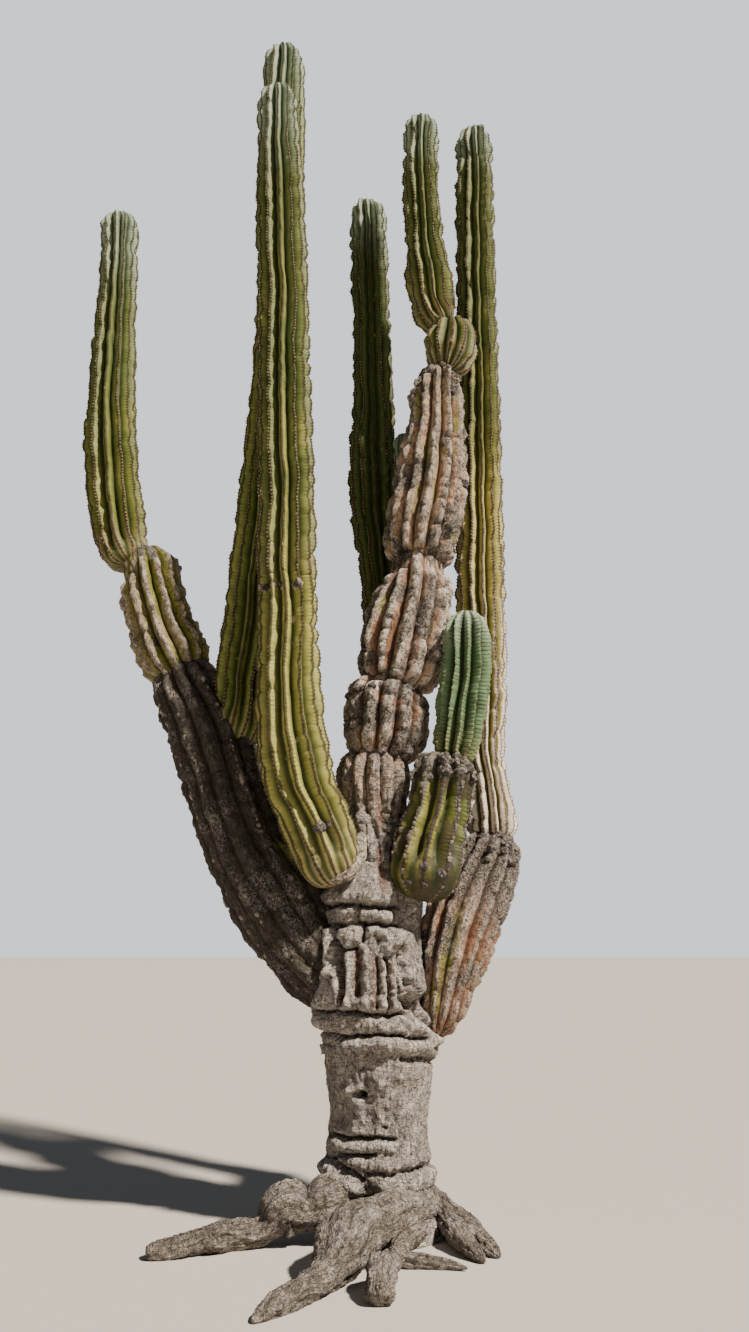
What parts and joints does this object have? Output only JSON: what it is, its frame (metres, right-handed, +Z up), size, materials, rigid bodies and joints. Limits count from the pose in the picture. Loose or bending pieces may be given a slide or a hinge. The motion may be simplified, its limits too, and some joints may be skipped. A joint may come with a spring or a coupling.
{
  "type": "cardon cactus",
  "caption": "Old giant columnar desert cactus: short barked trunk on surface roots, heavy corky boughs and tall ribbed green arms that stand upright.",
  "frame": {"origin": "centre of the flat cut under the trunk, at ground level", "axes": "+Z up, +X to the right and +Y to the rear as seen in the picture"},
  "size_m": [3.3672, 2.4147, 9.38],
  "materials": {
    "trunk_bark": "rough grey-brown bark in wrinkled rings",
    "root_bark": "weathered grey fibrous bark",
    "corky_skin": "dry pink-brown cork over ribs, with grey crests",
    "green_skin": "waxy yellow-green ribbed skin",
    "young_skin": "waxy blue-green ribbed skin"
  },
  "bodies": {
    "root": {"trunk": "trunk_bark", "left_bough_lower": "corky_skin", "left_bough_upper": "corky_skin", "left_outer_arm": "green_skin", "left_rear_arm": "green_skin", "left_front_arm_lower": "green_skin", "left_front_arm_upper": "green_skin", "middle_stem_bulge": "corky_skin", "middle_stem_lower": "corky_skin", "middle_stem_upper": "corky_skin", "middle_stem_ball": "green_skin", "middle_top_arm": "green_skin", "rear_arm": "green_skin", "rear_bud": "young_skin", "right_bough": "corky_skin", "right_tall_arm_lower": "green_skin", "right_tall_arm_upper": "green_skin", "front_bough": "green_skin", "front_arm": "young_skin", "root_left": "root_bark", "root_front": "root_bark", "root_right": "root_bark", "root_right_fork": "root_bark", "root_stub": "root_bark", "root_slim": "root_bark", "root_rear_left": "root_bark", "root_rear_right": "root_bark"}
  },
  "joints": []
}
